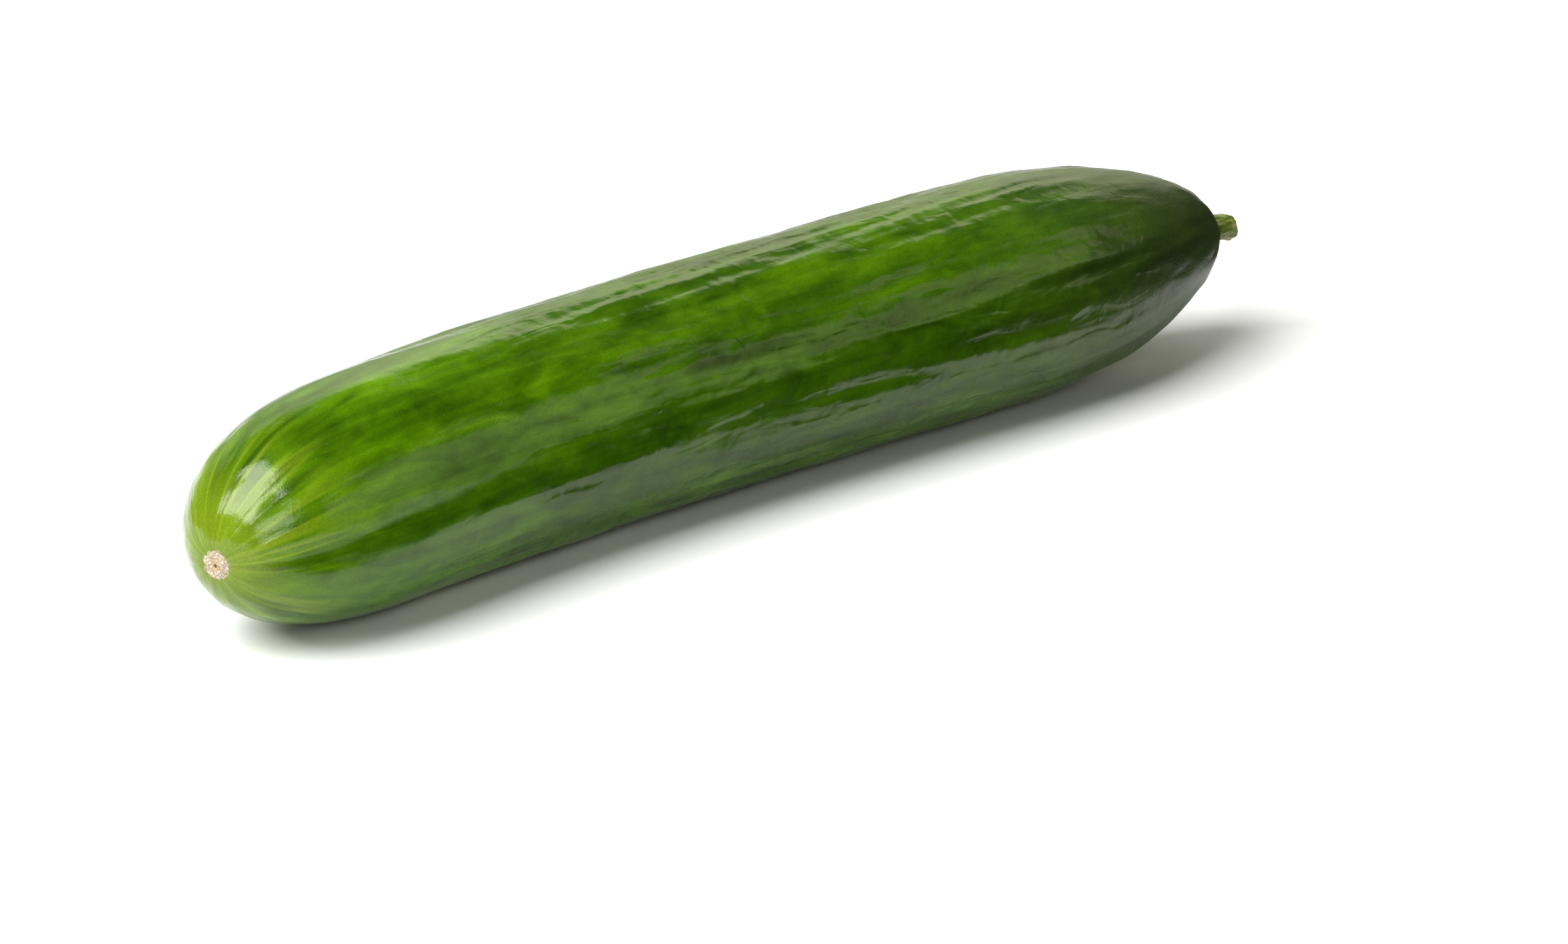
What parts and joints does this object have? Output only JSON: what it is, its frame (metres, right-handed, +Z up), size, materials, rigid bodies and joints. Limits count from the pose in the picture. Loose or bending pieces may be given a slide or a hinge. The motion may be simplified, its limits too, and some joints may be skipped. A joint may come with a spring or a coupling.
{
  "type": "cucumber",
  "caption": "Long, gently curved greenhouse cucumber with a blunt blossom end, a tapering neck and a short stub of stem, lying on its side for slicing or as food set dressing.",
  "frame": {"origin": "on the resting plane, under the centre of the bounding box of fruit and stem", "axes": "+X along the fruit from the blossom end to the stem end, +Y level, towards the outside of the bend, +Z up"},
  "size_m": [0.3078, 0.0576, 0.0513],
  "materials": {
    "fruit_skin": "waxy, glossy vegetable skin, mottled green, yellower at the blossom end",
    "stem_skin": "dull ridged plant stem with a dry tan cut end"
  },
  "bodies": {
    "root": {"fruit": "fruit_skin", "stem": "stem_skin"}
  },
  "joints": []
}
